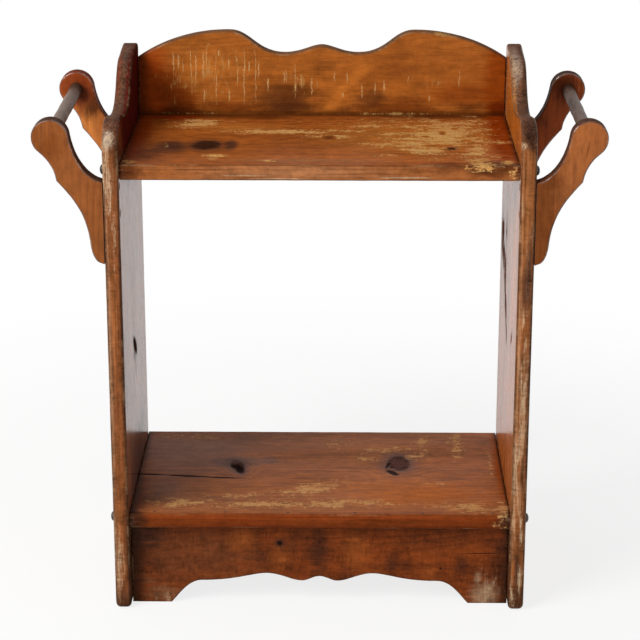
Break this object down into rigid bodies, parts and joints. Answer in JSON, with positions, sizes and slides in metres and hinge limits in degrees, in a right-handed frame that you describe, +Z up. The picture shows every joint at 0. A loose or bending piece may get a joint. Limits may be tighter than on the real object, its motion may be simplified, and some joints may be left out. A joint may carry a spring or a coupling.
{
  "type": "washstand",
  "caption": "Small pine washstand: shaped side panels carry a top shelf, a lower shelf, a scalloped splash back and apron, with a towel bar on bracket arms at each side.",
  "frame": {"origin": "on the floor, at the middle of the stand's width and depth", "axes": "+Z up, +X to the right seen from the front, the front faces -Y"},
  "size_m": [0.672, 0.2858, 0.677],
  "materials": {
    "panel_pine": "worn glossy varnish on orange-brown stained pine",
    "shelf_pine": "worn varnish on brown stained knotty pine",
    "splash_pine": "scratched varnish on orange-brown stained pine",
    "apron_pine": "blotchy dark varnish on stained pine",
    "arm_pine": "satin varnish on orange-brown stained pine",
    "bar_wood": "worn grey-brown dowel",
    "block_pine": "raw sawn pine",
    "plug_wood": "dark stained button plug",
    "screw_steel": "dull dark steel"
  },
  "bodies": {
    "stand": {"left_side_panel": "panel_pine", "right_side_panel": "panel_pine", "top_shelf": "shelf_pine", "lower_shelf": "shelf_pine", "splash_back": "splash_pine", "front_apron": "apron_pine", "left_front_towel_arm": "arm_pine", "left_rear_towel_arm": "arm_pine", "right_front_towel_arm": "arm_pine", "right_rear_towel_arm": "arm_pine", "left_glue_block": "block_pine", "right_glue_block": "block_pine", "left_top_shelf_screw_front": "screw_steel", "left_top_shelf_screw_rear": "screw_steel", "right_top_shelf_screw_front": "screw_steel", "right_top_shelf_screw_rear": "screw_steel", "left_lower_shelf_screw_front": "screw_steel", "left_lower_shelf_screw_rear": "screw_steel", "right_lower_shelf_screw_front": "screw_steel", "right_lower_shelf_screw_rear": "screw_steel", "left_top_shelf_plug_front": "plug_wood", "left_top_shelf_plug_rear": "plug_wood", "right_top_shelf_plug_front": "plug_wood", "right_top_shelf_plug_rear": "plug_wood", "left_lower_shelf_plug_front": "plug_wood", "left_lower_shelf_plug_rear": "plug_wood", "right_lower_shelf_plug_front": "plug_wood", "right_lower_shelf_plug_rear": "plug_wood", "left_front_arm_screw_upper": "screw_steel", "left_front_arm_screw_lower": "screw_steel", "left_rear_arm_screw_upper": "screw_steel", "left_rear_arm_screw_lower": "screw_steel", "right_front_arm_screw_upper": "screw_steel", "right_front_arm_screw_lower": "screw_steel", "right_rear_arm_screw_upper": "screw_steel", "right_rear_arm_screw_lower": "screw_steel", "splash_screw_left": "screw_steel", "splash_screw_middle": "screw_steel", "splash_screw_right": "screw_steel"},
    "left_bar": {"left_towel_bar": "bar_wood"},
    "right_bar": {"right_towel_bar": "bar_wood"}
  },
  "joints": [
    {"name": "left_bar_turn", "type": "hinge", "parent": "stand", "child": "left_bar", "pos_m": [-0.314, 0, 0.6025], "axis": [0, 1, 0], "continuous": true},
    {"name": "right_bar_turn", "type": "hinge", "parent": "stand", "child": "right_bar", "pos_m": [0.314, 0, 0.6025], "axis": [0, 1, 0], "continuous": true}
  ]
}
